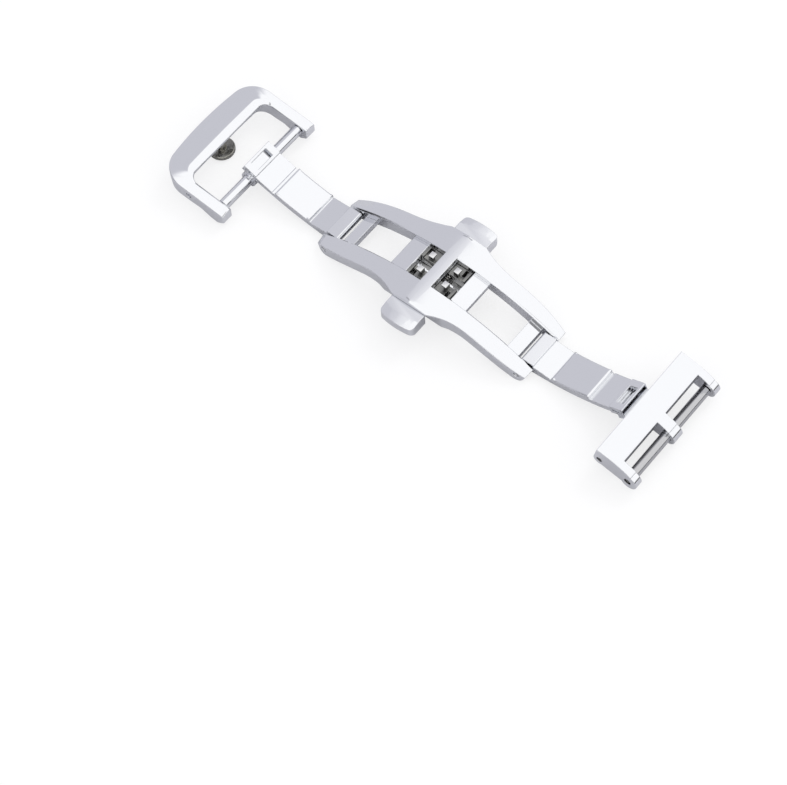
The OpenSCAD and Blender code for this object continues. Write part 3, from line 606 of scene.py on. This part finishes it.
# Crosswise edges are broken first, then the panel's long edges and the rims of both sides
def breakBladeEdges(bm):
    look = bladeLook
    panelR = look["face"] - look["panel"]
    across = [
        e for e in bm.edges if e.is_manifold and e.calc_face_angle() > math.radians(look["edgeFrom"])
        and abs((e.verts[0].co - e.verts[1].co).normalized().y) > near["along"]
    ]
    bmesh.ops.bevel(
        bm, geom=across, offset=look["edge"] * mm, offset_type="OFFSET", affect="EDGES",
        segments=1, profile=0.5, material=-1,
    )
    along = [
        e for e in bm.edges if e.is_manifold and e.calc_face_angle() > math.radians(look["panelEdgeFrom"])
        and all(abs(abs(v.co.y) - look["half"] * mm) < near["place"] for v in e.verts)
        and all(abs(radiusOf(v.co) - panelR * mm) < near["radius"] for v in e.verts)
    ]
    bmesh.ops.bevel(
        bm, geom=along, offset=look["panelEdge"] * mm, offset_type="OFFSET", affect="EDGES",
        segments=1, profile=0.5, material=-1,
    )
    for side in (-1, 1):
        cap = [
            f for f in bm.faces if f.normal.y * side > near["along"]
            and abs(f.calc_center_median().y - side * look["half"] * mm) < near["place"]
        ]
        rim = {v for f in cap for v in f.verts}
        bmesh.ops.inset_region(
            bm, faces=cap, thickness=look["side"] * mm, use_boundary=True, use_even_offset=True,
        )
        bmesh.ops.translate(bm, verts=[v for v in rim if v.is_valid], vec=(0, -side * look["side"] * mm, 0))


def makeBlade(name, nodeName, mirrored, ring):
    look = bladeLook
    pinTurn = math.degrees(math.asin(look["pin"][0] / look["pin"][1]))
    pinCentre = onBlade(look["pin"][1], pinTurn)
    across = Vector((0, look["half"] * mm, 0))
    bm = bmesh.new()
    bladeProfile(bm, ring, pinCentre, pinTurn)
    bmesh.ops.triangle_fill(bm, use_beauty=True, use_dissolve=False, edges=bm.edges, normal=(0, 1, 0))
    wide = bmesh.ops.extrude_face_region(bm, geom=bm.faces[:] + bm.edges[:] + bm.verts[:])
    moved = [v for v in wide["geom"] if isinstance(v, bmesh.types.BMVert)]
    bmesh.ops.translate(bm, verts=moved, vec=2 * across)
    bmesh.ops.recalc_face_normals(bm, faces=bm.faces)
    cutWindow(bm)
    breakBladeEdges(bm)
    opened = Matrix.Rotation(math.radians(look["fold"]), 3, "Y")
    bmesh.ops.rotate(bm, verts=bm.verts, cent=pinCentre + across, matrix=opened)
    if mirrored:
        bmesh.ops.scale(bm, verts=bm.verts, vec=(-1, 1, 1))
        bmesh.ops.reverse_faces(bm, faces=bm.faces)
    piece = finishPiece(name, bm, nodeName, mirror)
    piece.data.set_sharp_from_angle(angle=math.radians(look["sharpFrom"]))


# The strap blade's knuckle goes round the head's pin, and the buckle blade's ring round the bar's tube.
# "before" and "after" are the corners as (r, a) where the ring leaves the catch box and meets the root.
strapRing = {
    "x": 0.6, "z": 5.1, "radius": 1.15, "bore": 0.54, "from": 180, "to": 487.5,
    "before": [(44.3, 1.367), (44.3, 0.781)],
    "after": [(45.0, 2.996), (44.35, 2.996), (44.35, 4.693), (44.1, 4.693)],
}
buckleRing = {
    "x": 3.0, "z": 5.1, "radius": 1.35, "bore": 0.95, "from": 221.8, "to": 503.7,
    "before": [(44.35, 1.367), (44.35, 2.735)],
    "after": [(44.1, 4.955)],
}
makeBlade("strapBlade", "strap_blade", False, strapRing)
makeBlade("buckleBlade", "buckle_blade", True, buckleRing)
print("blades made")

# Floor: matt white board. The camera sees it mostly as plain white, with a soft shadow kept, and polished
# steel sees it a little darker, as the photograph's reflections do.
floorLook = {
    "color": "#f4f4f6", "shadeInMetal": "#d2d2d6", "white": 0.72, "glow": 1.03, "reach": 3.0, "below": 0.002 * mm,
}
material, tree = newMaterial("whiteBoard")
path = addNode(tree, "ShaderNodeLightPath")
share = addNode(tree, "ShaderNodeMath", {
    "operation": "MULTIPLY", 1: floorLook["white"],
}, {0: path.outputs["Is Camera Ray"]})
# painted shade: glossy rays see the board in a darker colour, standing in for the shade on the floor round
# the clasp
boardAndReflectedShade = addNode(tree, "ShaderNodeMix", {
    "data_type": "RGBA", 6: linearColor(floorLook["color"]), 7: linearColor(floorLook["shadeInMetal"]),
}, {0: path.outputs["Is Glossy Ray"]})
board = addNode(tree, "ShaderNodeBsdfDiffuse", None, {"Color": boardAndReflectedShade.outputs[2]})
glow = addNode(tree, "ShaderNodeEmission", {"Color": (1, 1, 1, 1), "Strength": floorLook["glow"]})
mixed = addNode(tree, "ShaderNodeMixShader", None, {
    0: share.outputs[0], 1: board.outputs[0], 2: glow.outputs[0],
})
finishMaterial(tree, mixed)
bm = bmesh.new()
bmesh.ops.create_grid(bm, x_segments=1, y_segments=1, size=floorLook["reach"])
bmesh.ops.translate(bm, verts=bm.verts, vec=(0, 0, cadLow.z - floorLook["below"]))
mesh = bpy.data.meshes.new("floor")
bm.to_mesh(mesh)
bm.free()
floor = bpy.data.objects.new("floor", mesh)
floor.data.materials.append(material)
bpy.context.scene.collection.objects.link(floor)

# Studio dome: white all round, a pale grey wall on the buckle's side, a dark band low down on the near
# and right sides, and a small dark gap where the camera stands
domeLook = {
    "white": "#ffffff", "whiteLevel": 1.2,
    "wall": "#f4f4fc", "wallLevel": 0.76, "wallFrom": -0.27, "wallTo": -0.42,
    "low": 0.04, "lowFrom": 0.12, "lowTo": 0.32, "lowEnd": (0.3, 0.8), "farSide": (-1.0, 1.0, 0.0),
    "gap": 0.3, "gapFrom": 0.965, "gapTo": 0.99, "camera": (0.359, -0.41, 0.838),
}
world = bpy.data.worlds.new("studioDome")
bpy.context.scene.world = world
world.use_nodes = True
tree = world.node_tree
tree.nodes.clear()
direction = addNode(tree, "ShaderNodeTexCoord").outputs["Generated"]
parts = addNode(tree, "ShaderNodeSeparateXYZ", None, {"Vector": direction})
side = addNode(tree, "ShaderNodeMapRange", {
    "interpolation_type": "SMOOTHSTEP", "From Min": domeLook["wallTo"], "From Max": domeLook["wallFrom"],
}, {"Value": parts.outputs["X"]})
color = addNode(tree, "ShaderNodeMix", {
    "data_type": "RGBA", 6: linearColor(domeLook["wall"]), 7: linearColor(domeLook["white"]),
}, {0: side.outputs["Result"]})
strength = addNode(tree, "ShaderNodeMapRange", {
    "To Min": domeLook["wallLevel"], "To Max": domeLook["whiteLevel"],
}, {"Value": side.outputs["Result"]})
toCamera = addNode(tree, "ShaderNodeVectorMath", {
    "operation": "DOT_PRODUCT", 1: domeLook["camera"],
}, {0: direction})
gap = addNode(tree, "ShaderNodeMapRange", {
    "interpolation_type": "SMOOTHSTEP", "From Min": domeLook["gapFrom"], "From Max": domeLook["gapTo"],
    "To Min": 1.0, "To Max": domeLook["gap"],
}, {"Value": toCamera.outputs["Value"]})
level = addNode(tree, "ShaderNodeMath", {
    "operation": "MULTIPLY",
}, {0: strength.outputs["Result"], 1: gap.outputs["Result"]})
low = addNode(tree, "ShaderNodeMapRange", {
    "interpolation_type": "SMOOTHSTEP", "From Min": domeLook["lowFrom"], "From Max": domeLook["lowTo"],
    "To Min": domeLook["low"], "To Max": 1.0,
}, {"Value": parts.outputs["Z"]})
behind = addNode(tree, "ShaderNodeVectorMath", {
    "operation": "DOT_PRODUCT", 1: domeLook["farSide"],
}, {0: direction})
lowEnd = addNode(tree, "ShaderNodeMapRange", {
    "interpolation_type": "SMOOTHSTEP", "From Min": domeLook["lowEnd"][0], "From Max": domeLook["lowEnd"][1],
}, {"Value": behind.outputs["Value"]})
lowLevel = addNode(tree, "ShaderNodeMath", {
    "operation": "MAXIMUM",
}, {0: low.outputs["Result"], 1: lowEnd.outputs["Result"]})
shaded = addNode(tree, "ShaderNodeMath", {
    "operation": "MULTIPLY",
}, {0: level.outputs[0], 1: lowLevel.outputs[0]})
path = addNode(tree, "ShaderNodeLightPath")
lit = addNode(tree, "ShaderNodeBackground", None, {"Color": color.outputs[2], "Strength": shaded.outputs[0]})
plain = addNode(tree, "ShaderNodeBackground", {"Color": (1, 1, 1, 1), "Strength": 1.0})
shown = addNode(tree, "ShaderNodeMixShader", None, {
    0: path.outputs["Is Camera Ray"], 1: lit.outputs[0], 2: plain.outputs[0],
})
addNode(tree, "ShaderNodeOutputWorld", links={"Surface": shown.outputs[0]})

keyLook = {"power": 1.6, "size": 0.35, "place": (0.15, 0.75, 0.9)}
lamp = bpy.data.lights.new("keyPanel", "AREA")
lamp.energy = keyLook["power"]
lamp.size = keyLook["size"]
key = bpy.data.objects.new("keyPanel", lamp)
key.location = keyLook["place"]
key.rotation_mode = "QUATERNION"
key.rotation_quaternion = Vector(keyLook["place"]).to_track_quat("Z", "Y")
key.visible_glossy = False
bpy.context.scene.collection.objects.link(key)
print("light set")

# Camera: where the photographer stood, worked out from the clasp's own edges
cameraLook = {
    "place": (153.361, -176.026, 362.005), "azimuth": 43.142, "elevation": 59.357, "roll": -5.064,
    "lens": 130.08, "sensor": 36, "clip": (0.02, 20),
}
data = bpy.data.cameras.new("camera")
data.sensor_width = cameraLook["sensor"]
data.lens = cameraLook["lens"]
data.clip_start, data.clip_end = cameraLook["clip"]
camera = bpy.data.objects.new("camera", data)
around = Matrix.Rotation(math.radians(cameraLook["azimuth"]), 4, "Z")
down = Matrix.Rotation(math.radians(90 - cameraLook["elevation"]), 4, "X")
roll = Matrix.Rotation(math.radians(cameraLook["roll"]), 4, "Z")
camera.matrix_world = Matrix.Translation(Vector(cameraLook["place"]) * mm) @ around @ down @ roll
bpy.context.scene.collection.objects.link(camera)
bpy.context.scene.camera = camera

scene = bpy.context.scene
scene.view_settings.view_transform = "Standard"
